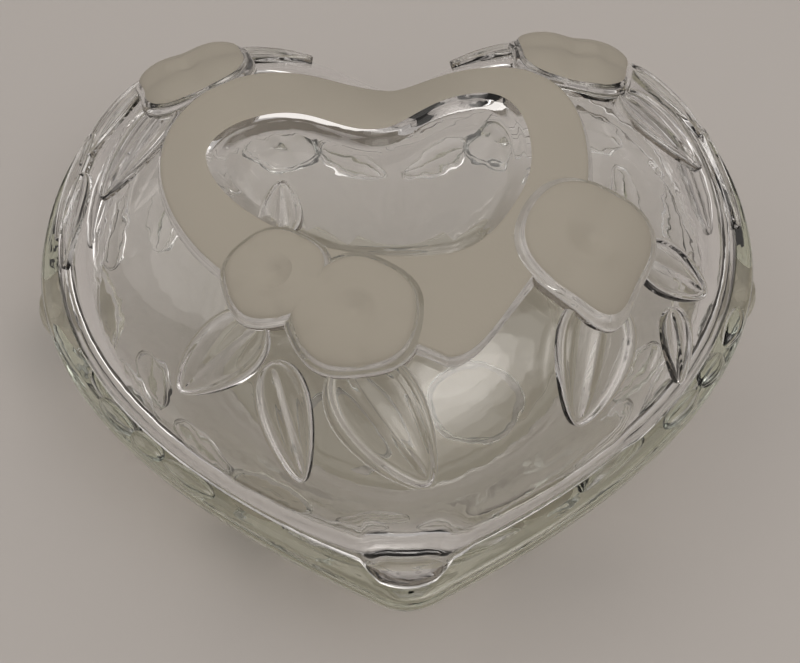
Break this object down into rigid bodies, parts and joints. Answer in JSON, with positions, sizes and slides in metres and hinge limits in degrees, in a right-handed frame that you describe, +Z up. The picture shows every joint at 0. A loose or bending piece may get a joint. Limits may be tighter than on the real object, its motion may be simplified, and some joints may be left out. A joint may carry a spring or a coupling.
{
  "type": "trinket box",
  "caption": "Heart-shaped pressed-glass trinket box: a bowl-like dish and a loose domed lid with a raised satin heart band, satin roses and clear leaves.",
  "frame": {"origin": "middle of the flat underside of the dish's foot, on the surface the box stands on", "axes": "+Z up, the heart's tip points to -Y, its cleft to +Y and its lobes to -X and +X"},
  "size_m": [0.152, 0.129, 0.0726],
  "materials": {
    "lid_glass": "clear pressed soda-lime glass, with the heart band and the roses satin-etched",
    "dish_glass": "clear pressed soda-lime glass with a faint green edge, and satin-etched roses"
  },
  "bodies": {
    "dish": {"dish": "dish_glass"},
    "lid": {"lid": "lid_glass"}
  },
  "joints": [
    {"name": "lid_lift", "type": "slide", "parent": "dish", "child": "lid", "axis": [0, 0, 1], "range_m": [0, 0.08]}
  ]
}
